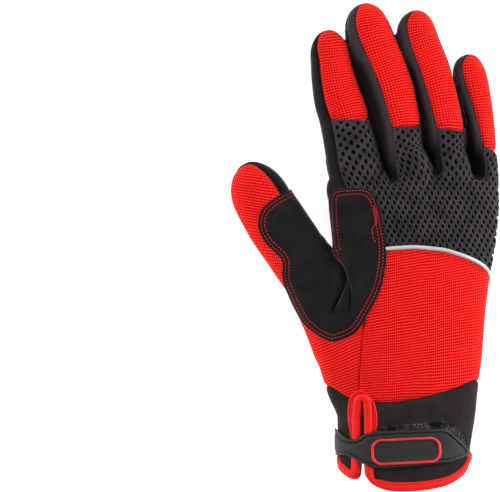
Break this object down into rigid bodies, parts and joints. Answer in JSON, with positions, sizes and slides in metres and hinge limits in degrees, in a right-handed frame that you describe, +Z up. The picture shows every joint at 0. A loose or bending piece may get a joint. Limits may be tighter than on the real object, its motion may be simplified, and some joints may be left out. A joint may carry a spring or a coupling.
{
  "type": "construction glove",
  "caption": "Right-hand work glove lying palm down: black palm with stitched pads, red knit back, open mesh over the knuckles and a strapped neoprene cuff.",
  "frame": {"origin": "on the floor under the middle of the glove's box", "axes": "+Z up out of the back of the hand, +Y towards the fingertips, -X towards the thumb"},
  "size_m": [0.1384, 0.2496, 0.0405],
  "materials": {
    "leather": "matt suede-like synthetic leather",
    "knit": "ribbed stretch knit",
    "open_mesh": "open air mesh",
    "stretch_cloth": "smooth stretch cloth",
    "neoprene": "fine cloth face over neoprene",
    "binding": "smooth woven tape",
    "piping": "silver reflective cloth",
    "loop_pile": "fuzzy loop pile",
    "strap_rubber": "satin moulded rubber",
    "badge_rim": "satin moulded rubber"
  },
  "bodies": {
    "root": {"palm_panel": "leather", "thumb_front": "leather", "thumb_back": "knit", "thumb_side_panel": "knit", "back_panel": "knit", "knuckle_mesh": "open_mesh", "finger_back_index": "knit", "finger_back_middle": "knit", "finger_back_ring": "knit", "finger_back_little": "knit", "fourchette_index_middle": "stretch_cloth", "fourchette_middle_ring": "stretch_cloth", "fourchette_ring_little": "stretch_cloth", "saddle_patch": "leather", "finger_base_pad": "leather", "heel_pad": "leather", "thenar_pad": "leather", "reflective_piping": "piping", "cuff": "neoprene", "hem_binding": "binding", "slit_binding": "binding", "loop_patch": "loop_pile", "closure_strap": "strap_rubber", "strap_badge_frame": "badge_rim"}
  },
  "joints": []
}
